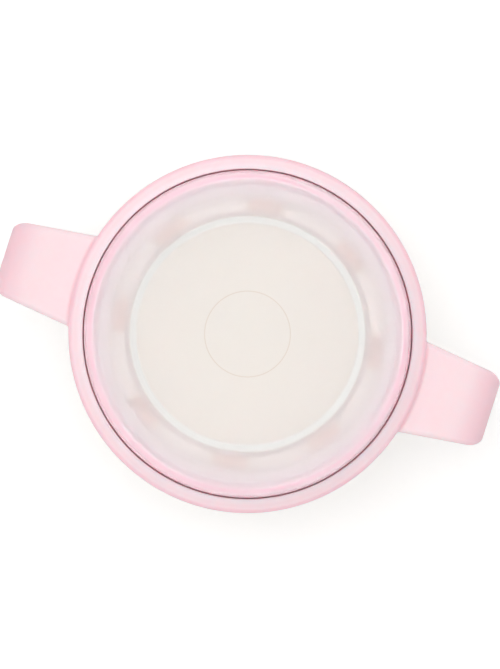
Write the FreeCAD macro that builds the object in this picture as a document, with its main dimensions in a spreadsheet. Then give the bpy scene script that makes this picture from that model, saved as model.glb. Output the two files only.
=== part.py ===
"""A two-handled training cup with a screw collar, a flow disc and a push-on travel cover.

Millimetres. The cup stands on Z = 0 with its axis on Z, and the handles lie along X.
Every piece is drawn from its own seat and lifted to its place in the stack.
"""
import FreeCAD, Part
import math
import os
import Sketcher

SIZES = {
    # Soft ring under the cup
    "foot_inset": 4.7,
    "foot_width": 5.0,
    "foot_thickness": 2.4,
    "foot_stand": 1.2,
    "foot_corner": 0.8,
    # Cup
    "cup_base_inset": 6.2,
    "cup_waist_inset": 3.0,
    "cup_waist_height": 27.0,
    "neck_step": 0.4,
    "cup_wall": 2.0,
    "cup_floor": 2.8,
    "cup_base_dome": 0.8,
    "cup_base_corner": 5.0,
    "cup_waist_bend": 180.0,
    "ledge_height": 58.0,
    "ledge_width": 3.0,
    "ledge_thickness": 2.2,
    "neck_radius": 36.4,
    "neck_height": 18.7,
    "lip_round": 0.7,
    "thread_depth": 0.9,
    # Clearances
    "thread_clearance": 0.3,
    "seat_gap": 0.1,
    "slip_clearance": 0.3,
    "cover_clearance": 0.25,
    "hoop_clearance": 0.4,
    # Handle ring
    "hoop_wall": 3.55,
    "hoop_draft": 0.7,
    "hoop_skirt": 3.5,
    "hoop_rise": 20.5,
    "hoop_edge_round": 1.15,
    "hoop_lip_round": 0.45,
    "flange_thickness": 2.0,
    "handle_stand_out": 19.5,
    "handle_root_width": 23.6,
    "handle_tip_width": 18.1,
    "handle_tip_corner": 4.6,
    "handle_thickness": 4.4,
    "handle_root_inset": 0.8,
    "handle_foot_rise": 3.6,
    "handle_foot_thickness": 6.0,
    "handle_step": 1.6,
    "handle_drop": 42.0,
    "handle_lean": 3.4,
    "handle_top_bend": 8.0,
    "handle_low_bend": 9.5,
    "handle_edge_round": 1.4,
    "handle_root_round": 0.8,
    # Collar
    "collar_rise": 7.0,
    "collar_plate": 1.8,
    "collar_corner": 0.3,
    "seal_pocket_wall": 2.0,
    "seal_pocket_depth": 1.8,
    "rim_overhang": 1.4,
    "rim_wall": 1.1,
    "rim_height": 2.7,
    "rim_taper": 0.1,
    "rim_round": 0.5,
    "opening_inset": 0.2,
    # Seals
    "seal_thickness": 1.4,
    "seal_round": 0.4,
    "disc_seal_thickness": 1.1,
    # Flow disc
    "disc_thickness": 1.4,
    "disc_wall": 1.0,
    "disc_depth": 2.6,
    "disc_channel_width": 3.7,
    "disc_step": 2.6,
    "disc_dome": 0.4,
    "disc_corner": 0.3,
    "dome_bend": 60.0,
    "slot_inset": 0.4,
    "slot_length": 3.0,
    "slot_width": 0.9,
    "slot_spacing_angle": 3.7,
    "slot_group_angle": 9.6,
    # Travel cover
    "cover_wall": 0.8,
    "cover_thickness": 1.4,
    "cover_corner": 0.25,
    "cover_edge_round": 0.6,
    "cover_slope": 0.4,
    "cover_well_inset": 5.5,
    "cover_well_depth": 1.4,
    "cover_well_draft": 1.4,
    "cover_dome": 0.5,
    "cover_bend": 0.6,
    "badge_radius": 10.5,
    "badge_depth": 0.4,
}

SLOTS_IN_A_GROUP = 5
SLOT_GROUPS = 8
SHARP_ANGLE = 15
SAME_PLACE = 0.01
NEAR_PLACE = 0.2


class Size:
    """A number that carries the formula of the sheet cells it was worked out from."""

    def __init__(self, value, formula):
        self.value = value
        self.formula = formula

    def __add__(self, other):
        other = as_size(other)
        return Size(self.value + other.value, f"({self.formula} + {other.formula})")

    def __sub__(self, other):
        other = as_size(other)
        return Size(self.value - other.value, f"({self.formula} - {other.formula})")

    def __mul__(self, other):
        other = as_size(other)
        return Size(self.value * other.value, f"({self.formula} * {other.formula})")

    def __truediv__(self, other):
        other = as_size(other)
        return Size(self.value / other.value, f"({self.formula} / {other.formula})")

    def __neg__(self):
        return Size(-self.value, f"(0 - {self.formula})")


def as_size(number):
    """A bare number as a Size, and a Size as it is."""
    if isinstance(number, Size):
        return number
    return Size(number, repr(number))


def turned(x, y, angle):
    """The point (x, y) turned about the origin by an angle in degrees."""
    radians = math.radians(angle.value)
    cosine = Size(math.cos(radians), f"cos({angle.formula} * 1 deg)")
    sine = Size(math.sin(radians), f"sin({angle.formula} * 1 deg)")
    return x * cosine - y * sine, x * sine + y * cosine


class Sheet:
    """The spreadsheet of driving sizes, read by name."""

    def __init__(self, document, sizes):
        self.cells = document.addObject("Spreadsheet::Sheet", "sizes")
        self.sizes = sizes
        for row, (name, value) in enumerate(sizes.items(), start=1):
            self.cells.set(f"A{row}", name)
            self.cells.set(f"B{row}", str(value))
            self.cells.setAlias(f"B{row}", name)

    def __getattr__(self, name):
        return Size(self.sizes[name], f"sizes.{name}")


doc = FreeCAD.newDocument("training_cup")
size = Sheet(doc, SIZES)
doc.recompute()
ZERO = as_size(0.0)


def new_piece(label, height):
    """An empty body lifted to its height in the stack."""
    body = doc.addObject("PartDesign::Body", label)
    body.Label = label
    body.setExpression("Placement.Base.z", height.formula)
    return body


def origin_part(body, role):
    """A plane or axis of the body's own origin."""
    return next(item for item in body.Origin.OriginFeatures if item.Role == role)


def pin(sketch, kind, geometry, point, size_value):
    """Fix one coordinate of a sketch point to a size."""
    if size_value.value == 0.0:
        axis = -2 if kind == "DistanceX" else -1
        sketch.addConstraint(Sketcher.Constraint("PointOnObject", geometry, point, axis))
        return
    index = sketch.addConstraint(
        Sketcher.Constraint(kind, -1, 1, geometry, point, size_value.value))
    sketch.setExpression(f"Constraints[{index}]", size_value.formula)


def corner_cut(places, index, radius):
    """Where a corner's arc starts and ends, with the arc's centre."""
    here = places[index]
    back = (places[index - 1] - here).normalize()
    ahead = (places[(index + 1) % len(places)] - here).normalize()
    half_angle = back.getAngle(ahead) / 2
    setback = radius / math.tan(half_angle)
    middle = (back + ahead).normalize()
    centre = here + middle * (radius / math.sin(half_angle))
    return here + back * setback, here + ahead * setback, centre


def draw_outline(sketch, corners):
    """A closed outline through (x, y) corners; a third value rounds the corner to that radius."""
    places = [FreeCAD.Vector(corner[0].value, corner[1].value, 0) for corner in corners]
    arrivals = []
    departures = []
    centres = []
    for index, corner in enumerate(corners):
        if len(corner) == 3:
            arrival, departure, centre = corner_cut(places, index, corner[2].value)
        else:
            arrival, departure, centre = places[index], places[index], None
        arrivals.append(arrival)
        departures.append(departure)
        centres.append(centre)
    lines = []
    for index in range(len(corners)):
        after = (index + 1) % len(corners)
        segment = Part.LineSegment(departures[index], arrivals[after])
        lines.append(sketch.addGeometry(segment, False))
    for index, corner in enumerate(corners):
        line_in = lines[index - 1]
        line_out = lines[index]
        if centres[index] is None:
            sketch.addConstraint(Sketcher.Constraint("Coincident", line_in, 2, line_out, 1))
            pin(sketch, "DistanceX", line_out, 1, corner[0])
            pin(sketch, "DistanceY", line_out, 1, corner[1])
            continue
        add_rounding(sketch, corner, line_in, line_out,
                     arrivals[index], departures[index], centres[index])


def add_rounding(sketch, corner, line_in, line_out, arrival, departure, centre):
    """An arc tangent to two lines whose meeting point is pinned."""
    spoke_in = arrival - centre
    spoke_out = departure - centre
    angle_in = math.atan2(spoke_in.y, spoke_in.x)
    angle_out = math.atan2(spoke_out.y, spoke_out.x)
    turns_left = spoke_in.cross(spoke_out).z > 0
    start, end = (angle_in, angle_out) if turns_left else (angle_out, angle_in)
    if end < start:
        end += 2 * math.pi
    circle = Part.Circle(centre, FreeCAD.Vector(0, 0, 1), corner[2].value)
    arc = sketch.addGeometry(Part.ArcOfCircle(circle, start, end), False)
    arc_in, arc_out = (1, 2) if turns_left else (2, 1)
    mark = sketch.addGeometry(Part.Point(FreeCAD.Vector(corner[0].value, corner[1].value, 0)), True)
    sketch.addConstraint(Sketcher.Constraint("Tangent", line_in, 2, arc, arc_in))
    sketch.addConstraint(Sketcher.Constraint("Tangent", arc, arc_out, line_out, 1))
    sketch.addConstraint(Sketcher.Constraint("PointOnObject", mark, 1, line_in))
    sketch.addConstraint(Sketcher.Constraint("PointOnObject", mark, 1, line_out))
    index = sketch.addConstraint(Sketcher.Constraint("Radius", arc, corner[2].value))
    sketch.setExpression(f"Constraints[{index}]", corner[2].formula)
    pin(sketch, "DistanceX", mark, 1, corner[0])
    pin(sketch, "DistanceY", mark, 1, corner[1])


def new_sketch(body, name, role):
    """An empty sketch on a plane of the body's origin."""
    sketch = body.newObject("Sketcher::SketchObject", name)
    sketch.AttachmentSupport = [(origin_part(body, role), "")]
    sketch.MapMode = "FlatFace"
    return sketch


def revolve(body, name, corners):
    """Turn a section, drawn as radius and height, about the axis of the cup."""
    sketch = new_sketch(body, f"{name}_section", "XZ_Plane")
    draw_outline(sketch, corners)
    turn = body.newObject("PartDesign::Revolution", name)
    turn.Profile = sketch
    turn.ReferenceAxis = (sketch, ["V_Axis"])
    turn.Angle = 360.0
    doc.recompute()
    return turn


def check_cut(body, before, what):
    """Stop where a cut took nothing away."""
    doc.recompute()
    if not body.Shape.Volume < before - 1e-6:
        raise RuntimeError(f"{what} cut nothing")


# Heights in the stack, from the table up.
floor_top = size.foot_stand + size.cup_floor
lip_height = size.ledge_height + size.neck_height
ring_seat = size.ledge_height + size.seat_gap
collar_seat = ring_seat + size.flange_thickness + size.seat_gap
plate_top = lip_height + size.seal_thickness + size.seat_gap * 2 + size.collar_plate
cover_seat = size.ledge_height + size.hoop_rise + size.collar_rise
rim_top = cover_seat + size.rim_height
disc_seat = plate_top + size.seat_gap + size.disc_seal_thickness

# Radii, from the neck outwards and then from the neck inwards.
skirt_inner = size.neck_radius + size.thread_depth + size.thread_clearance
rim_radius = skirt_inner + size.rim_overhang
cover_radius = rim_radius + size.cover_clearance + size.cover_wall
hoop_bore = cover_radius + size.hoop_clearance
hoop_radius = hoop_bore + size.hoop_wall
handle_reach = hoop_radius + size.handle_stand_out
neck_inner = size.neck_radius - size.cup_wall
pocket_radius = rim_radius - size.seal_pocket_wall
flange_radius = pocket_radius - size.slip_clearance
opening_radius = neck_inner - size.opening_inset
cup_base_radius = size.neck_radius - size.cup_base_inset
cup_waist_radius = size.neck_radius - size.cup_waist_inset
foot_outer = cup_base_radius - size.foot_inset
foot_inner = foot_outer - size.foot_width


def make_base_ring():
    """The soft ring the cup stands on, half sunk in a groove under the floor."""
    body = new_piece("base_ring", ZERO)
    revolve(body, "ring", [
        (foot_inner, ZERO, size.foot_corner),
        (foot_outer, ZERO, size.foot_corner),
        (foot_outer, size.foot_thickness),
        (foot_inner, size.foot_thickness),
    ])
    return body


def make_cup_body():
    """The cup: tapered walls, a ledge for the handle ring and a straight neck above it."""
    body = new_piece("cup_body", ZERO)
    underside = size.foot_stand
    groove_top = size.foot_thickness
    ledge_under = size.ledge_height - size.ledge_thickness
    ledge_radius = size.neck_radius + size.ledge_width
    waist_inner = cup_waist_radius - size.cup_wall
    base_inner = cup_base_radius - size.cup_wall
    revolve(body, "wall", [
        (ZERO, underside + size.cup_base_dome),
        (foot_inner / 2, underside + size.cup_base_dome, size.dome_bend),
        (foot_inner, underside),
        (foot_inner, groove_top),
        (foot_outer, groove_top),
        (foot_outer, underside),
        (cup_base_radius, underside, size.cup_base_corner),
        (cup_waist_radius, size.cup_waist_height, size.cup_waist_bend),
        (size.neck_radius - size.neck_step, ledge_under, size.lip_round),
        (ledge_radius, ledge_under + size.lip_round, size.lip_round),
        (ledge_radius, size.ledge_height),
        (size.neck_radius, size.ledge_height),
        (size.neck_radius, lip_height, size.lip_round),
        (neck_inner, lip_height, size.lip_round),
        (neck_inner, size.ledge_height, size.cup_waist_bend),
        (waist_inner, size.cup_waist_height, size.cup_waist_bend),
        (base_inner, floor_top, size.cup_base_corner),
        (ZERO, floor_top),
    ])
    return body


def make_handle_ring():
    """The hoop around the collar with its two ear-shaped handles, as one moulding."""
    hoop_top = size.hoop_rise - size.seat_gap
    hoop = make_hoop(hoop_top)
    ear = make_ear(hoop_top)
    other_ear = doc.addObject("Part::Mirroring", "other_ear")
    other_ear.Source = ear
    other_ear.Normal = FreeCAD.Vector(1, 0, 0)
    ring = doc.addObject("Part::MultiFuse", "ring")
    ring.Shapes = [hoop, ear, other_ear]
    ring.Refine = True
    doc.recompute()
    blended = doc.addObject("Part::Fillet", "handle_ring")
    blended.Base = ring
    blended.Edges = root_edges(ring.Shape)
    blended.Label = "handle_ring"
    doc.recompute()
    return blended


def make_hoop(hoop_top):
    """The hoop, with the inner flange that the collar holds down on the cup's ledge."""
    body = new_piece("hoop", ring_seat)
    hoop_foot = hoop_radius - size.hoop_draft
    revolve(body, "hoop_turned", [
        (skirt_inner, ZERO),
        (hoop_bore, ZERO),
        (hoop_bore, -size.hoop_skirt, size.hoop_lip_round),
        (hoop_foot, -size.hoop_skirt, size.hoop_edge_round),
        (hoop_radius, hoop_top, size.hoop_edge_round),
        (hoop_bore, hoop_top, size.hoop_lip_round),
        (hoop_bore, size.flange_thickness),
        (skirt_inner, size.flange_thickness),
    ])
    return body


def make_ear(hoop_top):
    """One handle: a bent strap seen from the side, tapered seen from above, with soft edges."""
    body = new_piece("ear", ring_seat)
    root = hoop_bore + size.handle_root_inset
    arm = size.handle_thickness
    top = hoop_top - size.handle_step
    low = top - size.handle_drop
    foot_reach = handle_reach - size.handle_lean
    arm_foot = size.handle_foot_rise - size.hoop_skirt
    sole_rise = (arm_foot - low) * arm / (foot_reach - root)
    side = new_sketch(body, "ear_side", "XZ_Plane")
    draw_outline(side, [
        (root, top),
        (handle_reach, top, size.handle_top_bend),
        (foot_reach, low, size.handle_low_bend),
        (root, arm_foot),
        (root, arm_foot + size.handle_foot_thickness),
        (foot_reach - arm, low + sole_rise + size.handle_foot_thickness,
         size.handle_low_bend - arm),
        (handle_reach - arm, top - arm, size.handle_top_bend - arm),
        (root, top - arm),
    ])
    strap = body.newObject("PartDesign::Pad", "strap")
    strap.Profile = side
    strap.Midplane = True
    strap.setExpression("Length", size.handle_root_width.formula)
    doc.recompute()

    volume = body.Shape.Volume
    half_root = size.handle_root_width / 2
    half_tip = size.handle_tip_width / 2
    beyond = handle_reach + size.handle_thickness
    aside = half_root + size.handle_thickness
    plan = new_sketch(body, "ear_plan", "XY_Plane")
    draw_outline(plan, [
        (root, half_root),
        (handle_reach, half_tip, size.handle_tip_corner),
        (handle_reach, -half_tip, size.handle_tip_corner),
        (root, -half_root),
        (root, -aside),
        (beyond, -aside),
        (beyond, aside),
        (root, aside),
    ])
    taper = body.newObject("PartDesign::Pocket", "taper")
    taper.Profile = plan
    taper.Type = "ThroughAll"
    taper.Midplane = True
    check_cut(body, volume, "The ear's taper")

    soft = body.newObject("PartDesign::Fillet", "soft_edges")
    soft.Base = (taper, sharp_edges(taper.Shape, root.value))
    soft.setExpression("Radius", size.handle_edge_round.formula)
    doc.recompute()
    return body


def sharp_edges(shape, root):
    """Names of the ear's edges where two faces meet at an angle, but for those of its root."""
    names = []
    for number, edge in enumerate(shape.Edges, start=1):
        middle = edge.valueAt((edge.FirstParameter + edge.LastParameter) / 2)
        normals = []
        for face in shape.ancestorsOfType(edge, Part.Face):
            normals.append(face.normalAt(*face.Surface.parameter(middle)))
        bend = math.degrees(normals[0].getAngle(normals[1]))
        if bend > SHARP_ANGLE and abs(middle.x - root) > SAME_PLACE:
            names.append(f"Edge{number}")
    return names


def root_edges(shape):
    """Where the ears' arms run into the hoop, with the radius that blends them."""
    radius = size.handle_root_round.value
    half_width = size.handle_root_width.value / 2
    found = []
    for number, edge in enumerate(shape.Edges, start=1):
        middle = edge.valueAt((edge.FirstParameter + edge.LastParameter) / 2)
        faces = shape.ancestorsOfType(edge, Part.Face)
        if len(faces) < 2 or abs(middle.y) > half_width + NEAR_PLACE:
            continue
        out_from_axis = math.hypot(middle.x, middle.y)
        if abs(out_from_axis - hoop_radius.value) > size.hoop_draft.value + NEAR_PLACE:
            continue
        normals = [face.normalAt(*face.Surface.parameter(middle)) for face in faces]
        if math.degrees(normals[0].getAngle(normals[1])) > SHARP_ANGLE:
            found.append((number, radius, radius))
    return found


def make_drinking_collar():
    """The screw collar: a drum over the neck, a shoulder for the cover and the drinking rim."""
    body = new_piece("drinking_collar", collar_seat)
    lip = lip_height - collar_seat
    shoulder = cover_seat - collar_seat
    plate_under = plate_top - size.collar_plate - collar_seat
    rim_top_radius = rim_radius - size.rim_taper
    soft = size.collar_corner
    revolve(body, "collar_turned", [
        (skirt_inner, ZERO, soft),
        (cover_radius, ZERO, soft),
        (cover_radius, shoulder, soft),
        (rim_radius, shoulder, soft),
        (rim_top_radius, rim_top - collar_seat, size.rim_round),
        (rim_top_radius - size.rim_wall, rim_top - collar_seat, size.rim_round),
        (pocket_radius, plate_top - collar_seat, size.rim_round),
        (opening_radius, plate_top - collar_seat, soft),
        (opening_radius, plate_under, soft),
        (pocket_radius, plate_under),
        (pocket_radius, lip - size.seal_pocket_depth),
        (skirt_inner, lip - size.seal_pocket_depth - soft),
    ])
    return body


def make_collar_seal():
    """The flat silicone ring that the collar presses on the cup's lip."""
    body = new_piece("collar_seal", lip_height + size.seat_gap)
    add_flat_ring(body, neck_inner - size.seat_gap, pocket_radius - size.slip_clearance,
                  size.seal_thickness)
    return body


def make_disc_seal():
    """The silicone ring under the flow disc's flange."""
    body = new_piece("disc_seal", plate_top + size.seat_gap)
    add_flat_ring(body, opening_radius + size.seat_gap, flange_radius - size.seat_gap,
                  size.disc_seal_thickness)
    return body


def add_flat_ring(body, inner, outer, thickness):
    """A flat ring with soft corners, standing on zero."""
    revolve(body, f"{body.Label}_turned", [
        (inner, ZERO, size.seal_round),
        (outer, ZERO, size.seal_round),
        (outer, thickness, size.seal_round),
        (inner, thickness, size.seal_round),
    ])


def make_flow_disc():
    """The clear disc that slows the drink: a slotted channel around a raised middle."""
    body = new_piece("flow_disc", disc_seat)
    barrel = opening_radius - size.slip_clearance
    channel_outer = barrel - size.disc_wall
    channel_inner = channel_outer - size.disc_channel_width
    channel_under = -size.disc_depth
    middle_under = size.disc_step - size.disc_depth
    soft = size.disc_corner
    revolve(body, "disc_turned", [
        (ZERO, middle_under + size.disc_dome),
        (channel_inner / 2, middle_under + size.disc_dome, size.dome_bend),
        (channel_inner - size.disc_thickness, middle_under, soft),
        (channel_inner - size.disc_thickness, channel_under, soft),
        (barrel, channel_under, soft),
        (barrel, ZERO),
        (flange_radius, ZERO, soft),
        (flange_radius, size.disc_thickness, soft),
        (channel_outer + size.disc_wall / 2, size.disc_thickness, soft),
        (channel_outer, channel_under + size.disc_thickness, soft),
        (channel_inner, channel_under + size.disc_thickness, soft),
        (channel_inner - size.disc_wall / 2, middle_under + size.disc_thickness, soft),
        (channel_inner / 2, middle_under + size.disc_thickness + size.disc_dome, size.dome_bend),
        (ZERO, middle_under + size.disc_thickness + size.disc_dome),
    ])
    cut_slots(body, channel_inner)
    return body


def cut_slots(body, channel_inner):
    """Groups of narrow radial slots through the floor of the disc's channel."""
    volume = body.Shape.Volume
    start = channel_inner + size.slot_inset
    end = start + size.slot_length
    half = size.slot_width / 2
    sketch = new_sketch(body, "slots", "XY_Plane")
    for number in range(SLOTS_IN_A_GROUP):
        offset = number - (SLOTS_IN_A_GROUP - 1) / 2
        angle = size.slot_group_angle + size.slot_spacing_angle * offset
        draw_outline(sketch, [
            turned(start, -half, angle),
            turned(end, -half, angle),
            turned(end, half, angle),
            turned(start, half, angle),
        ])
    group = body.newObject("PartDesign::Pocket", "slot_group")
    group.Profile = sketch
    group.Type = "ThroughAll"
    group.Midplane = True
    check_cut(body, volume, "The slot group")

    volume = body.Shape.Volume
    groups = body.newObject("PartDesign::PolarPattern", "slot_groups")
    groups.Originals = [group]
    groups.Axis = (origin_part(body, "Z_Axis"), [""])
    groups.Angle = 360.0
    groups.Occurrences = SLOT_GROUPS
    body.Tip = groups
    check_cut(body, volume, "The pattern of slot groups")


def make_travel_cover():
    """The frosted cover: a short skirt around the rim, a wide flat edge and a sunk middle."""
    body = new_piece("travel_cover", cover_seat + size.seat_gap)
    inner = cover_radius - size.cover_wall
    under = rim_top + size.slip_clearance - cover_seat - size.seat_gap
    edge_top = under + size.cover_thickness
    well_top = edge_top + size.cover_slope - size.cover_well_depth
    well_radius = opening_radius - size.cover_well_inset
    well_floor_radius = well_radius - size.cover_well_draft
    soft = size.cover_corner
    revolve(body, "cover_turned", [
        (inner, ZERO, soft),
        (cover_radius, ZERO, soft),
        (cover_radius, edge_top, size.cover_edge_round),
        (well_radius, edge_top + size.cover_slope, size.cover_bend),
        (well_floor_radius, well_top, size.cover_bend),
        (size.badge_radius, well_top + size.cover_dome),
        (size.badge_radius, well_top + size.cover_dome - size.badge_depth),
        (ZERO, well_top + size.cover_dome - size.badge_depth),
        (ZERO, well_top + size.cover_dome - size.cover_thickness),
        (size.badge_radius, well_top + size.cover_dome - size.cover_thickness, size.dome_bend),
        (well_floor_radius + soft, well_top - size.cover_thickness, size.cover_bend),
        (well_radius + size.cover_thickness, under, size.cover_bend),
        (inner, under, size.cover_bend),
    ])
    return body


def check_document(pieces):
    """Stop on any failed object, or on a piece without exactly one valid solid."""
    doc.recompute()
    for item in doc.Objects:
        if "Invalid" in item.State or "Error" in item.State:
            raise RuntimeError(f"{item.Label} failed: {item.State}")
    for piece in pieces:
        shape = piece.Shape
        if shape.isNull() or not shape.isValid() or len(shape.Solids) != 1:
            raise RuntimeError(f"{piece.Label} is not one valid solid")


def write_pieces(pieces):
    """One STEP file for each piece."""
    os.makedirs("parts", exist_ok=True)
    for piece in pieces:
        box = piece.Shape.optimalBoundingBox()
        print(f"{piece.Label}: {piece.Shape.Volume / 1000:.2f} cm3, "
              f"Z {box.ZMin:.2f} to {box.ZMax:.2f}, width {box.XLength:.2f} x {box.YLength:.2f}")
        piece.Shape.exportStep(os.path.join("parts", f"{piece.Label}.step"))


pieces = [
    make_base_ring(),
    make_cup_body(),
    make_handle_ring(),
    make_drinking_collar(),
    make_collar_seal(),
    make_disc_seal(),
    make_flow_disc(),
    make_travel_cover(),
]
check_document(pieces)
write_pieces(pieces)
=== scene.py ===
"""The looks of the training cup: finishes, screw threads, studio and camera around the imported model.

Metres, in the model's own frame. The cup stands on Z = 0 and its handles lie along X.
"""
import math

import bmesh
import bpy
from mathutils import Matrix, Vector


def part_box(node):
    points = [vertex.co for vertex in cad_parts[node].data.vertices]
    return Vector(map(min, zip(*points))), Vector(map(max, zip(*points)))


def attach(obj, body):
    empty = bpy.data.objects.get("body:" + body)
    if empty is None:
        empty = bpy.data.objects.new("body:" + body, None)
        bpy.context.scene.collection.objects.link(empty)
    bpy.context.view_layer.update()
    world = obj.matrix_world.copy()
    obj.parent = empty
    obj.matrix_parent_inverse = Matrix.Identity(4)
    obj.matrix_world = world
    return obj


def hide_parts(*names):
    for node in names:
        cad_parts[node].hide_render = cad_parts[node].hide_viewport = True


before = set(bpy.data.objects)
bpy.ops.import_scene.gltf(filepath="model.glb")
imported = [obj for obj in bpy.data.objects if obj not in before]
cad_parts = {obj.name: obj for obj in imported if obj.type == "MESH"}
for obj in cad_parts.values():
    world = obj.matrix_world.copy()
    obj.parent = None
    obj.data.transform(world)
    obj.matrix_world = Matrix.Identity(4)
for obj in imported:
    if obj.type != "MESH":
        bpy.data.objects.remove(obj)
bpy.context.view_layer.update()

MM = 0.001
WHOLE_TURN = 2 * math.pi

# The photograph's frame, and where the cup's axis and handles lie in it.
IMAGE_WIDTH_PX = 500
IMAGE_HEIGHT_PX = 669
AXIS_PX = (247.5, 334.0)
HOOP_WIDTH_PX = 358.6
HANDLES_TURN = math.radians(17.75)

# Camera: far off with a long lens, as such pictures are taken.
SENSOR_MM = 36.0
LENS_MM = 1000.0

# Screw threads between the cup's neck and the collar: ridges that run side by side.
THREAD_STARTS = 2
THREAD_LEAD = 6.0 * MM
THREAD_DEPTH = 0.9 * MM
THREAD_CLEARANCE = 0.3 * MM
THREAD_WIDTH = 1.3 * MM
THREAD_SINK = 0.1 * MM
THREAD_RUN_OUT = math.radians(25)
THREAD_STEPS_A_TURN = 120
THREAD_PROFILE_STEPS = 10
LEDGE_WIDTH = 3.0 * MM
NECK_THREAD_BELOW_LIP = (10.7 * MM, 2.5 * MM)
COLLAR_THREAD_ABOVE_FOOT = (1.3 * MM, 9.8 * MM)

# Soft rings: a hair of room where they press on a neighbour, and their moulded relief.
PRESS_GAP = 0.03 * MM
RING_STEPS = 240
CORNER_STEPS = 6
DISC_SEAL_WIDTH = 2.3 * MM
DISC_SEAL_CORNER = 0.35 * MM
DISC_SEAL_HOLLOW = 0.12 * MM
BASE_RING_WIDTH = 5.0 * MM
BASE_RING_CORNER = 0.6 * MM
GRIP_GROOVES_IN = (1.35 * MM, 3.65 * MM)
GRIP_GROOVE_WIDTH = 0.8 * MM
GRIP_GROOVE_DEPTH = 0.35 * MM

# Places that the finishes and the painted highlights and shade follow, from the cup's axis.
RECESS_RADIUS_MM = 10.5
STEP_FROM_TO_MM = (27.2, 28.8)
SHELF_FROM_TO_MM = (28.8, 29.4)
CLOUDY_FROM_TO_MM = (33.9, 36.4)
THIN_RIM_FROM_TO_MM = (37.9, 38.7)
DRUM_WALL_FROM_TO_MM = (39.85, 40.0)
HOOP_LIP_FROM_TO_MM = (41.0, 42.4)
HOOP_EDGE_FROM_TO_MM = (43.1, 44.4)
EAR_END_FROM_TO_MM = (54.0, 63.0)
SLOTS_FROM_TO_MM = (29.6, 32.6)
SLOT_GROUPS = 8
SLOT_GROUP_ANGLE = math.radians(9.6)
SLOT_GROUP_HALF_WIDTH = math.radians(8.3)
SLOT_GROUP_SOFT = math.radians(0.5)

FLOOR_HALF_WIDTH = 3.0


def from_hex(code):
    """An sRGB hex colour as linear RGBA."""
    channels = [int(code[place:place + 2], 16) / 255 for place in (1, 3, 5)]
    linear = [c / 12.92 if c <= 0.04045 else ((c + 0.055) / 1.055) ** 2.4 for c in channels]
    return (*linear, 1.0)


def add_node(tree, kind, inputs=None, **settings):
    """A node with its settings, and its inputs set to values or linked from sockets."""
    node = tree.nodes.new(kind)
    for name, value in settings.items():
        setattr(node, name, value)
    for socket, value in (inputs or {}).items():
        if isinstance(value, bpy.types.NodeSocket):
            tree.links.new(value, node.inputs[socket])
        else:
            node.inputs[socket].default_value = value
    return node


def new_material(name):
    """An empty material with its output node and coordinates in metres that move with the piece."""
    material = bpy.data.materials.new(name)
    material.use_nodes = True
    tree = material.node_tree
    tree.nodes.clear()
    output = add_node(tree, "ShaderNodeOutputMaterial")
    place = add_node(tree, "ShaderNodeTexCoord").outputs["Object"]
    return material, tree, output, place


def mottle(tree, place, size_mm, detail=2.0):
    """Soft random patches of a real size, as a value around one half."""
    noise = add_node(tree, "ShaderNodeTexNoise", {"Vector": place, "Scale": 1 / (size_mm * MM),
                                                 "Detail": detail, "Roughness": 0.5})
    return noise.outputs["Fac"]


def between(tree, value, low, high):
    """A value around one half spread over a range of numbers."""
    spread = add_node(tree, "ShaderNodeMapRange", {"Value": value, "From Min": 0.3, "From Max": 0.7,
                                                   "To Min": low, "To Max": high})
    return spread.outputs["Result"]


def tint(tree, value, dark, light):
    """A colour between two hex colours."""
    mix = add_node(tree, "ShaderNodeMix", {"Factor": value}, data_type="RGBA")
    mix.inputs["A"].default_value = from_hex(dark)
    mix.inputs["B"].default_value = from_hex(light)
    return mix.outputs["Result"]


def grain(tree, place, size_mm, depth_mm, strength=1.0):
    """The fine texture that a mould leaves on plastic, as a bump."""
    height = mottle(tree, place, size_mm, detail=3.0)
    bump = add_node(tree, "ShaderNodeBump", {"Height": height, "Distance": depth_mm * MM,
                                             "Strength": strength})
    return bump.outputs["Normal"]


def distance_from_axis(tree, place):
    """How far a point is from the cup's axis, in millimetres."""
    split = add_node(tree, "ShaderNodeSeparateXYZ", {0: place})
    flat = add_node(tree, "ShaderNodeCombineXYZ", {"X": split.outputs["X"], "Y": split.outputs["Y"]})
    length = add_node(tree, "ShaderNodeVectorMath", {0: flat.outputs[0]}, operation="LENGTH")
    millimetres = add_node(tree, "ShaderNodeMath", {0: length.outputs["Value"], 1: 1 / MM},
                           operation="MULTIPLY")
    return millimetres.outputs[0]


def rise(tree, value, low, high):
    """Nothing below one number and everything above another, with a smooth rise between them."""
    ramp = add_node(tree, "ShaderNodeMapRange", {"Value": value, "From Min": low, "From Max": high},
                    interpolation_type="SMOOTHSTEP")
    return ramp.outputs["Result"]


def band(tree, value, low, high, soft):
    """Everything between two numbers and nothing outside, with soft ends."""
    up = rise(tree, value, low - soft, low + soft)
    down = rise(tree, value, high - soft, high + soft)
    inside = add_node(tree, "ShaderNodeMath", {0: up, 1: down}, operation="SUBTRACT")
    return inside.outputs[0]


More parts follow.
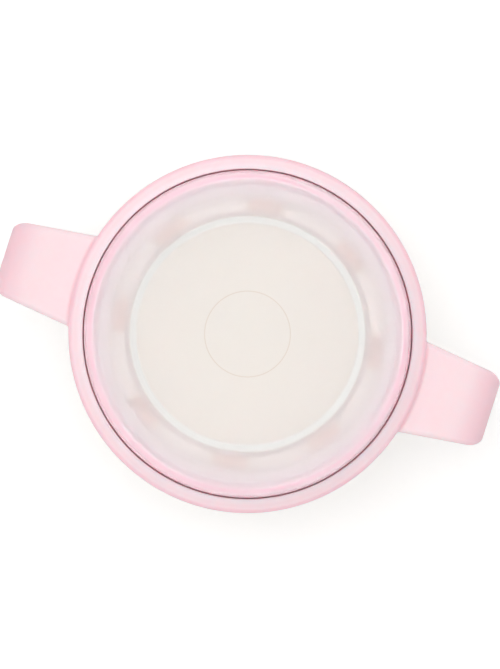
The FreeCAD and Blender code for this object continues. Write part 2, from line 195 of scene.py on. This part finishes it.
def among_slots(tree, place):
    """Where the flow disc's floor is cut by its groups of slots."""
    split = add_node(tree, "ShaderNodeSeparateXYZ", {0: place})
    angle = add_node(tree, "ShaderNodeMath", {0: split.outputs["Y"], 1: split.outputs["X"]},
                     operation="ARCTAN2")
    from_group = add_node(tree, "ShaderNodeMath", {0: angle.outputs[0], 1: SLOT_GROUP_ANGLE},
                          operation="SUBTRACT")
    half_share = WHOLE_TURN / SLOT_GROUPS / 2
    wrapped = add_node(tree, "ShaderNodeMath", {0: from_group.outputs[0], 1: half_share,
                                                2: -half_share}, operation="WRAP")
    beside = add_node(tree, "ShaderNodeMath", {0: wrapped.outputs[0]}, operation="ABSOLUTE")
    outside = rise(tree, beside.outputs[0], SLOT_GROUP_HALF_WIDTH - SLOT_GROUP_SOFT,
                   SLOT_GROUP_HALF_WIDTH + SLOT_GROUP_SOFT)
    along = band(tree, distance_from_axis(tree, place), SLOTS_FROM_TO_MM[0], SLOTS_FROM_TO_MM[1], 0.2)
    both = add_node(tree, "ShaderNodeMath", {0: along, 1: outside}, operation="SUBTRACT",
                    use_clamp=True)
    return both.outputs[0]


def blend(tree, share, colour, other):
    """One colour socket going over into another as a share goes from nothing to all."""
    mix = add_node(tree, "ShaderNodeMix", {"Factor": share}, data_type="RGBA")
    tree.links.new(colour, mix.inputs["A"])
    tree.links.new(other, mix.inputs["B"])
    return mix.outputs["Result"]


def pink_polypropylene():
    """Handle ring: satin injection-moulded polypropylene from a lightly spark-textured mould.

    The texture breaks reflections into a soft sheen, and the pale pigment lets a little light
    in under the surface, so edges stay soft and warm. The hoop's inner lip is painted paler, as a
    painted highlight that also lifts the shade cast on it by the collar standing above it, and its
    outer edge and the far ends of the handles are painted deeper in colour, as painted shade.
    """
    material, tree, output, place = new_material("pink_satin_moulded_polypropylene")
    patches = mottle(tree, place, 18)
    radius = distance_from_axis(tree, place)
    even = tint(tree, patches, "#F7E0E4", "#FAE4E7")
    # Painted highlight: the hoop's inner lip is painted paler, standing in for the glint on its
    # rounded edge and lifting the shade that the collar above casts on it.
    painted_lip_highlight = tint(tree, patches, "#FBEAEE", "#FDEEF1")
    # Painted shade: the hoop's outer edge and the handles' far ends are painted deeper where their
    # surfaces roll away from the light.
    painted_edge_shade = tint(tree, patches, "#F9CFD8", "#FBD4DC")
    colour = blend(tree, rise(tree, radius, *HOOP_LIP_FROM_TO_MM), painted_lip_highlight, even)
    colour = blend(tree, band(tree, radius, *HOOP_EDGE_FROM_TO_MM, 0.5), colour, painted_edge_shade)
    colour = blend(tree, rise(tree, radius, *EAR_END_FROM_TO_MM), colour, painted_edge_shade)
    shader = add_node(tree, "ShaderNodeBsdfPrincipled", {
        "Base Color": colour,
        "Roughness": between(tree, mottle(tree, place, 0.9), 0.42, 0.52),
        "IOR": 1.49,
        "Subsurface Weight": 0.7,
        "Subsurface Radius": (1.0, 0.4, 0.45),
        "Subsurface Scale": 3.0 * MM,
        "Specular IOR Level": 0.25,
        "Normal": grain(tree, place, 0.5, 0.02, 0.35),
    })
    tree.links.new(shader.outputs["BSDF"], output.inputs["Surface"])
    return material


def rose_polypropylene():
    """Screw collar: glossier moulded polypropylene in a stronger pink than the handles.

    The drinking rim and the drum's outer wall are painted paler than the shoulder between them,
    as painted light: on the slender rim it stands in for light coming through, and on the wall it
    weakens the rose light thrown on the hoop beside it.
    """
    material, tree, output, place = new_material("rose_gloss_moulded_polypropylene")
    patches = mottle(tree, place, 14)
    radius = distance_from_axis(tree, place)
    # Painted light: the drinking rim is painted paler than the shoulder, standing in for light coming
    # through it.
    rim = tint(tree, patches, "#F9E1E8", "#FBE6EC")
    shoulder = tint(tree, patches, "#EE749F", "#F07CA6")
    # Painted light: the drum's outer wall is painted paler, so the rose light it throws on the hoop
    # beside it is weaker.
    wall = tint(tree, patches, "#F9D6E0", "#FBDCE4")
    colour = blend(tree, rise(tree, radius, *THIN_RIM_FROM_TO_MM), rim, shoulder)
    colour = blend(tree, rise(tree, radius, *DRUM_WALL_FROM_TO_MM), colour, wall)
    shader = add_node(tree, "ShaderNodeBsdfPrincipled", {
        "Base Color": colour,
        "Roughness": between(tree, mottle(tree, place, 1.2), 0.26, 0.34),
        "IOR": 1.49,
        "Subsurface Weight": 0.5,
        "Subsurface Radius": (1.0, 0.5, 0.6),
        "Subsurface Scale": 2.5 * MM,
        "Normal": grain(tree, place, 0.8, 0.01, 0.2),
    })
    tree.links.new(shader.outputs["BSDF"], output.inputs["Surface"])
    return material


def frosted_polypropylene():
    """Travel cover: natural polypropylene from an etched mould.

    Clear enough to show what lies close under it and cloudy with depth, with a matt skin that
    spreads every highlight. The step round the sunk well is made milky, a painted highlight in
    place of the glints on its edges; the shelf outside it is clearest, the skin over the disc's rim
    is a little cloudy, and the recess in the centre is outlined by a fine line of painted shade.
    """
    material, tree, output, place = new_material("frosted_moulded_polypropylene")
    patches = mottle(tree, place, 9)
    radius = distance_from_axis(tree, place)
    well = tint(tree, patches, "#F8F9F7", "#FAFBF9")
    shelf = tint(tree, patches, "#FBFAFB", "#FDFCFD")
    cloudy = tint(tree, patches, "#F3F2F1", "#F5F4F3")
    shade = tint(tree, patches, "#E4DFD7", "#E8E3DB")
    # Painted shade: a fine darker line painted round the edge of the centre recess.
    outline = band(tree, radius, RECESS_RADIUS_MM - 0.12, RECESS_RADIUS_MM + 0.12, 0.08)
    colour = blend(tree, rise(tree, radius, *SHELF_FROM_TO_MM), well, shelf)
    colour = blend(tree, band(tree, radius, *CLOUDY_FROM_TO_MM, 0.6), colour, cloudy)
    # Painted highlight: the step round the sunk well is made less clear, so it shows as a pale ring in
    # place of the glints on the step's edges.
    milky = band(tree, radius, STEP_FROM_TO_MM[0], STEP_FROM_TO_MM[1], 0.15)
    clear = add_node(tree, "ShaderNodeMapRange", {"Value": milky, "To Min": 0.85, "To Max": 0.25})
    shader = add_node(tree, "ShaderNodeBsdfPrincipled", {
        "Base Color": blend(tree, outline, colour, shade),
        "Roughness": between(tree, mottle(tree, place, 0.7), 0.29, 0.33),
        "IOR": 1.49,
        "Transmission Weight": clear.outputs["Result"],
    })
    tree.links.new(shader.outputs["BSDF"], output.inputs["Surface"])
    return material


def clear_copolyester():
    """Flow disc: clear moulded copolyester, polished, with faint flow waves from the gate.

    The narrow bars between its slots are painted a darker pink, as painted shade from the slots
    and a painted reflection of the pink around them.
    """
    material, tree, output, place = new_material("clear_moulded_copolyester")
    waves = mottle(tree, place, 12)
    clear = tint(tree, waves, "#FDF9FD", "#FEFAFE")
    # Painted shade and painted reflection: the bars among the slots are painted a darker pink,
    # standing in for the shade in the slots and the pink reflected into them.
    bars = tint(tree, waves, "#E7B1B9", "#EBB9C0")
    shader = add_node(tree, "ShaderNodeBsdfPrincipled", {
        "Base Color": blend(tree, among_slots(tree, place), clear, bars),
        "Roughness": between(tree, mottle(tree, place, 3.0), 0.10, 0.16),
        "IOR": 1.54,
        "Transmission Weight": 0.85,
    })
    tree.links.new(shader.outputs["BSDF"], output.inputs["Surface"])
    return material


def milky_polypropylene():
    """Cup: natural polypropylene, milky through its wall and satin on its skin."""
    material, tree, output, place = new_material("milky_moulded_polypropylene")
    shader = add_node(tree, "ShaderNodeBsdfPrincipled", {
        "Base Color": tint(tree, mottle(tree, place, 16), "#FCFAF3", "#FDFBF5"),
        "Roughness": between(tree, mottle(tree, place, 1.1), 0.40, 0.48),
        "IOR": 1.49,
        "Transmission Weight": 0.5,
    })
    tree.links.new(shader.outputs["BSDF"], output.inputs["Surface"])
    return material


def seal_silicone():
    """Collar seal and disc seal: uncoloured silicone rubber, cloudy and matt."""
    material, tree, output, place = new_material("clear_moulded_silicone")
    shader = add_node(tree, "ShaderNodeBsdfPrincipled", {
        "Base Color": tint(tree, mottle(tree, place, 6), "#FEFDFC", "#FFFEFD"),
        "Roughness": between(tree, mottle(tree, place, 0.6), 0.45, 0.55),
        "IOR": 1.41,
        "Transmission Weight": 0.4,
    })
    tree.links.new(shader.outputs["BSDF"], output.inputs["Surface"])
    return material


def pink_silicone():
    """Base ring: pigmented silicone rubber, matt and grippy, with fine dust-catching texture."""
    material, tree, output, place = new_material("pink_moulded_silicone")
    shader = add_node(tree, "ShaderNodeBsdfPrincipled", {
        "Base Color": tint(tree, mottle(tree, place, 5), "#F0B4C2", "#F4BDCA"),
        "Roughness": between(tree, mottle(tree, place, 0.5), 0.6, 0.7),
        "IOR": 1.41,
        "Subsurface Weight": 0.3,
        "Subsurface Radius": (1.0, 0.5, 0.5),
        "Subsurface Scale": 1.5 * MM,
        "Sheen Weight": 0.15,
        "Sheen Roughness": 0.5,
        "Normal": grain(tree, place, 0.3, 0.015, 0.4),
    })
    tree.links.new(shader.outputs["BSDF"], output.inputs["Surface"])
    return material


def dress(node_name, material):
    """Give a node of the model its finish."""
    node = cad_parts[node_name]
    if not node.material_slots:
        node.data.materials.append(material)
    for slot in node.material_slots:
        slot.material = material


def ridge_height(share):
    """How high the rounded ridge is, for a share of its half width away from its middle."""
    return math.cos(share * math.pi / 2) ** 0.6


def run_in(angle_from_end):
    """How much of its full height the ridge has near one of its ends."""
    share = min(1.0, max(0.0, angle_from_end / THREAD_RUN_OUT))
    return share * share * (3 - 2 * share)


def add_ridge(mesh, wall, outward, low, high, start):
    """One helical ridge on a round wall, from one height to another."""
    turn_low = (low - start) / THREAD_LEAD * WHOLE_TURN
    turn_high = (high - start) / THREAD_LEAD * WHOLE_TURN
    steps = round((turn_high - turn_low) / WHOLE_TURN * THREAD_STEPS_A_TURN)
    loops = []
    for step in range(steps + 1):
        angle = turn_low + (turn_high - turn_low) * step / steps
        full = run_in(min(angle - turn_low, turn_high - angle))
        middle = start + angle / WHOLE_TURN * THREAD_LEAD
        loop = []
        for place in range(THREAD_PROFILE_STEPS + 1):
            share = 2 * place / THREAD_PROFILE_STEPS - 1
            proud = (THREAD_DEPTH + THREAD_SINK) * max(0.05, full) * ridge_height(share)
            radius = wall + outward * (proud - THREAD_SINK)
            height = middle + share * THREAD_WIDTH / 2
            loop.append(mesh.verts.new((radius * math.cos(angle), radius * math.sin(angle), height)))
        loops.append(loop)
    for loop, following in zip(loops, loops[1:]):
        for place in range(len(loop)):
            mesh.faces.new((loop[place - 1], loop[place], following[place], following[place - 1]))
    mesh.faces.new(loops[0])
    mesh.faces.new(reversed(loops[-1]))


def add_thread(name, wall, outward, low, high, start, material, body):
    """A screw thread of side-by-side ridges, moulded with the wall it stands on."""
    shape = bmesh.new()
    spacing = THREAD_LEAD / THREAD_STARTS
    for number in range(THREAD_STARTS):
        add_ridge(shape, wall, outward, low + THREAD_WIDTH / 2, high - THREAD_WIDTH / 2,
                  start + number * spacing)
    bmesh.ops.recalc_face_normals(shape, faces=shape.faces)
    mesh = bpy.data.meshes.new(name)
    shape.to_mesh(mesh)
    shape.free()
    mesh.shade_smooth()
    mesh.set_sharp_from_angle(angle=math.radians(50))
    mesh.materials.append(material)
    thread = bpy.data.objects.new(name, mesh)
    bpy.context.scene.collection.objects.link(thread)
    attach(thread, body)


def corner_arc(radius, height, size, start):
    """Points of a rounded corner a quarter turn round, from an angle, about (radius, height)."""
    points = []
    for step in range(CORNER_STEPS + 1):
        angle = start + math.pi / 2 * step / CORNER_STEPS
        points.append((radius + size * math.cos(angle), height + size * math.sin(angle)))
    return points


def hollow(low_radius, high_radius, height, depth):
    """Points of a shallow rounded hollow across a flat face, a way in or out from it."""
    points = []
    for step in range(2 * CORNER_STEPS + 1):
        share = step / (2 * CORNER_STEPS)
        radius = low_radius + (high_radius - low_radius) * share
        points.append((radius, height + depth * math.sin(math.pi * share) ** 2))
    return points


def add_soft_ring(name, outline, material, body, node):
    """A silicone ring turned from its outline of radii and heights, in place of a plain solid."""
    shape = bmesh.new()
    loops = []
    for step in range(RING_STEPS):
        angle = WHOLE_TURN * step / RING_STEPS
        loops.append([shape.verts.new((radius * math.cos(angle), radius * math.sin(angle), height))
                      for radius, height in outline])
    for loop, following in zip(loops, loops[1:] + loops[:1]):
        for place in range(len(outline)):
            shape.faces.new((loop[place - 1], loop[place], following[place], following[place - 1]))
    bmesh.ops.recalc_face_normals(shape, faces=shape.faces)
    mesh = bpy.data.meshes.new(name)
    shape.to_mesh(mesh)
    shape.free()
    mesh.shade_smooth()
    mesh.materials.append(material)
    ring = bpy.data.objects.new(name, mesh)
    bpy.context.scene.collection.objects.link(ring)
    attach(ring, body)
    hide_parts(node)


def add_disc_seal(silicone):
    """The flow disc's seal: a flat ring, hollow along both faces so that it presses on four lips."""
    low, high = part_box("disc_seal")
    outer = high.x
    inner = outer - DISC_SEAL_WIDTH
    top = high.z - PRESS_GAP
    corner = DISC_SEAL_CORNER
    outline = corner_arc(inner + corner, low.z + corner, corner, math.pi)
    outline += hollow(inner + corner, outer - corner, low.z, DISC_SEAL_HOLLOW)[1:-1]
    outline += corner_arc(outer - corner, low.z + corner, corner, -math.pi / 2)
    outline += corner_arc(outer - corner, top - corner, corner, 0)
    outline += hollow(outer - corner, inner + corner, top, -DISC_SEAL_HOLLOW)[1:-1]
    outline += corner_arc(inner + corner, top - corner, corner, math.pi / 2)
    add_soft_ring("lipped_disc_seal", outline, silicone, "disc", "disc_seal")


def add_base_ring(silicone):
    """The non-slip ring in the groove under the cup, with two grip grooves in its sole."""
    low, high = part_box("base_ring")
    outer = high.x - PRESS_GAP
    inner = high.x - BASE_RING_WIDTH + PRESS_GAP
    top = high.z - PRESS_GAP
    corner = BASE_RING_CORNER
    outline = corner_arc(inner + corner, low.z + corner, corner, math.pi)
    for groove in GRIP_GROOVES_IN:
        middle = inner + groove
        outline += hollow(middle - GRIP_GROOVE_WIDTH / 2, middle + GRIP_GROOVE_WIDTH / 2, low.z,
                          GRIP_GROOVE_DEPTH)
    outline += corner_arc(outer - corner, low.z + corner, corner, -math.pi / 2)
    outline += [(outer, top), (inner, top)]
    add_soft_ring("grooved_base_ring", outline, silicone, "cup", "base_ring")


def add_screw_threads(cup_plastic, collar_plastic):
    """The thread on the cup's neck, and the collar's own half a space above it."""
    cup_low, cup_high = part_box("cup_body")
    collar_low, collar_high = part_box("drinking_collar")
    neck = cup_high.x - LEDGE_WIDTH
    bore = neck + THREAD_DEPTH + THREAD_CLEARANCE
    mesh_offset = THREAD_LEAD / THREAD_STARTS / 2
    add_thread("neck_thread", neck, 1, cup_high.z - NECK_THREAD_BELOW_LIP[0],
               cup_high.z - NECK_THREAD_BELOW_LIP[1], collar_low.z, cup_plastic, "cup")
    add_thread("collar_thread", bore, -1, collar_low.z + COLLAR_THREAD_ABOVE_FOOT[0],
               collar_low.z + COLLAR_THREAD_ABOVE_FOOT[1], collar_low.z + mesh_offset,
               collar_plastic, "collar")


def set_camera():
    """Straight above the cup, turned so that the handles run as in the photograph."""
    hoop_low, hoop_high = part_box("handle_ring")
    metres_per_px = (hoop_high.y - hoop_low.y) / HOOP_WIDTH_PX
    field = IMAGE_HEIGHT_PX * metres_per_px
    distance = field * LENS_MM / SENSOR_MM
    right_px = IMAGE_WIDTH_PX / 2 - AXIS_PX[0]
    up_px = AXIS_PX[1] - IMAGE_HEIGHT_PX / 2
    right = right_px * metres_per_px
    up = up_px * metres_per_px
    camera = bpy.data.objects.new("camera", bpy.data.cameras.new("camera"))
    bpy.context.scene.collection.objects.link(camera)
    camera.data.lens = LENS_MM
    camera.data.sensor_width = SENSOR_MM
    camera.data.clip_start = distance / 2
    camera.data.clip_end = distance * 2
    camera.rotation_euler = (0, 0, HANDLES_TURN)
    camera.location = (right * math.cos(HANDLES_TURN) - up * math.sin(HANDLES_TURN),
                       right * math.sin(HANDLES_TURN) + up * math.cos(HANDLES_TURN),
                       hoop_high.z + distance)
    bpy.context.scene.camera = camera


def allow_deep_light():
    """Let light pass the cover, disc and cup and bounce about inside them before it is given up.

    Filter Glossy is off, because it would rob the frosted plastics of the light from inside.
    """
    cycles = bpy.context.scene.cycles
    cycles.max_bounces = 32
    cycles.diffuse_bounces = 16
    cycles.glossy_bounces = 16
    cycles.transmission_bounces = 32
    cycles.blur_glossy = 0.0


def add_lamp(name, width, power, place, aim):
    """A square soft lamp that points at a place."""
    lamp = bpy.data.objects.new(name, bpy.data.lights.new(name, "AREA"))
    bpy.context.scene.collection.objects.link(lamp)
    lamp.data.size = width
    lamp.data.energy = power
    lamp.location = place
    direction = aim - lamp.location
    lamp.rotation_euler = direction.to_track_quat("-Z", "Y").to_euler()
    return lamp


def light_studio():
    """A white room, brighter low down, with a large lamp overhead and a small one without glare."""
    world = bpy.data.worlds.new("white_room")
    bpy.context.scene.world = world
    world.use_nodes = True
    tree = world.node_tree
    tree.nodes.clear()
    path = add_node(tree, "ShaderNodeLightPath")
    seen = add_node(tree, "ShaderNodeMath", {0: path.outputs["Is Camera Ray"],
                                             1: path.outputs["Is Glossy Ray"]}, operation="MAXIMUM")
    seen_too = add_node(tree, "ShaderNodeMath", {0: seen.outputs[0],
                                                 1: path.outputs["Is Transmission Ray"]},
                        operation="MAXIMUM")
    way = add_node(tree, "ShaderNodeTexCoord").outputs["Generated"]
    height = add_node(tree, "ShaderNodeSeparateXYZ", {0: way}).outputs["Z"]
    glow = add_node(tree, "ShaderNodeMapRange", {"Value": height, "From Min": 0.0, "From Max": 0.6,
                                                 "To Min": 0.95, "To Max": 0.39})
    room = add_node(tree, "ShaderNodeBackground", {"Color": from_hex("#FFFFFF"),
                                                   "Strength": glow.outputs["Result"]})
    backdrop = add_node(tree, "ShaderNodeBackground", {"Color": from_hex("#FDFDFD"), "Strength": 1.0})
    mix = add_node(tree, "ShaderNodeMixShader", {0: seen_too.outputs[0], 1: room.outputs[0],
                                                 2: backdrop.outputs[0]})
    output = add_node(tree, "ShaderNodeOutputWorld")
    tree.links.new(mix.outputs[0], output.inputs["Surface"])
    cup_middle = Vector((0, 0, 80 * MM))
    add_lamp("overhead_softbox", 1.4, 10.4, Vector((-0.12, 0.10, 1.5)), cup_middle)
    fill = add_lamp("high_fill", 0.5, 7.5, Vector((-0.10, 0.06, 2.2)), cup_middle)
    fill.visible_glossy = False
    fill.visible_transmission = False


def add_floor():
    """A plain white table top that keeps the cup's soft shadow."""
    mesh = bpy.data.meshes.new("floor")
    half = FLOOR_HALF_WIDTH
    mesh.from_pydata([(-half, -half, 0), (half, -half, 0), (half, half, 0), (-half, half, 0)], [],
                     [(0, 1, 2, 3)])
    floor = bpy.data.objects.new("floor", mesh)
    bpy.context.scene.collection.objects.link(floor)
    material, tree, output, place = new_material("white_table_top")
    patches = mottle(tree, place, 60)
    shader = add_node(tree, "ShaderNodeBsdfPrincipled", {
        "Base Color": tint(tree, patches, "#F2F2F2", "#F6F6F6"),
        "Roughness": 0.8,
    })
    path = add_node(tree, "ShaderNodeLightPath")
    glow = add_node(tree, "ShaderNodeEmission", {"Color": from_hex("#FFFFFF"), "Strength": 0.25})
    seen = add_node(tree, "ShaderNodeMath", {0: path.outputs["Is Camera Ray"],
                                             1: path.outputs["Is Transmission Ray"]},
                    operation="MAXIMUM")
    dark = add_node(tree, "ShaderNodeEmission", {"Strength": 0.0})
    lift = add_node(tree, "ShaderNodeMixShader", {0: seen.outputs[0], 1: dark.outputs[0],
                                                  2: glow.outputs[0]})
    total = add_node(tree, "ShaderNodeAddShader", {0: shader.outputs[0], 1: lift.outputs[0]})
    tree.links.new(total.outputs[0], output.inputs["Surface"])
    mesh.materials.append(material)


set_camera()
allow_deep_light()
light_studio()
add_floor()
bpy.context.scene.view_settings.view_transform = "Standard"

cup_plastic = milky_polypropylene()
collar_plastic = rose_polypropylene()
silicone = seal_silicone()
dress("cup_body", cup_plastic)
dress("handle_ring", pink_polypropylene())
dress("drinking_collar", collar_plastic)
dress("flow_disc", clear_copolyester())
dress("travel_cover", frosted_polypropylene())
dress("collar_seal", silicone)
dress("disc_seal", silicone)
add_disc_seal(silicone)
base_silicone = pink_silicone()
dress("base_ring", base_silicone)
add_base_ring(base_silicone)
add_screw_threads(cup_plastic, collar_plastic)
